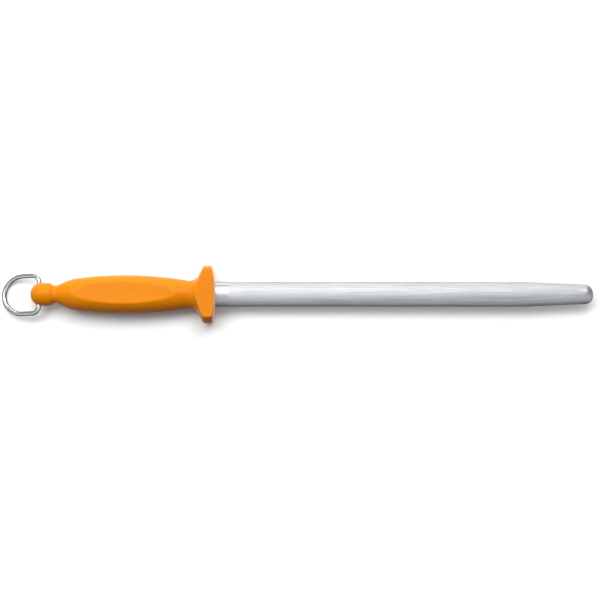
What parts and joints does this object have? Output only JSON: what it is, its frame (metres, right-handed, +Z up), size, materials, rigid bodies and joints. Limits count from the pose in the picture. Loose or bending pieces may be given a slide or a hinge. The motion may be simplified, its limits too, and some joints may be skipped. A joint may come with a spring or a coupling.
{
  "type": "knife sharpening steel",
  "caption": "Oval steel honing rod moulded into a flat-sided plastic handle with a guard, and a wire hanging ring that swings in the handle's end knob.",
  "frame": {"origin": "on the surface that the steel lies on, at the lower flat of the guard, halfway along the guard's rim and midway across", "axes": "+X along the rod towards its tip, +Y across the rod's width, +Z up from the surface; the rod's axis is 12.6 mm above it"},
  "size_m": [0.4714, 0.0462, 0.0252],
  "materials": {
    "rod_steel": "fine lengthwise cut, polished at the root and the tip",
    "handle_plastic": "satin moulded, orange",
    "ring_wire": "polished plated wire"
  },
  "bodies": {
    "steel": {"steel_rod": "rod_steel", "handle": "handle_plastic"},
    "ring": {"hanging_ring": "ring_wire"}
  },
  "joints": [
    {"name": "ring_swing", "type": "hinge", "parent": "steel", "child": "ring", "pos_m": [-0.1344, 0, 0.0126], "axis": [0, 1, 0], "range_deg": [-130, 171]}
  ]
}
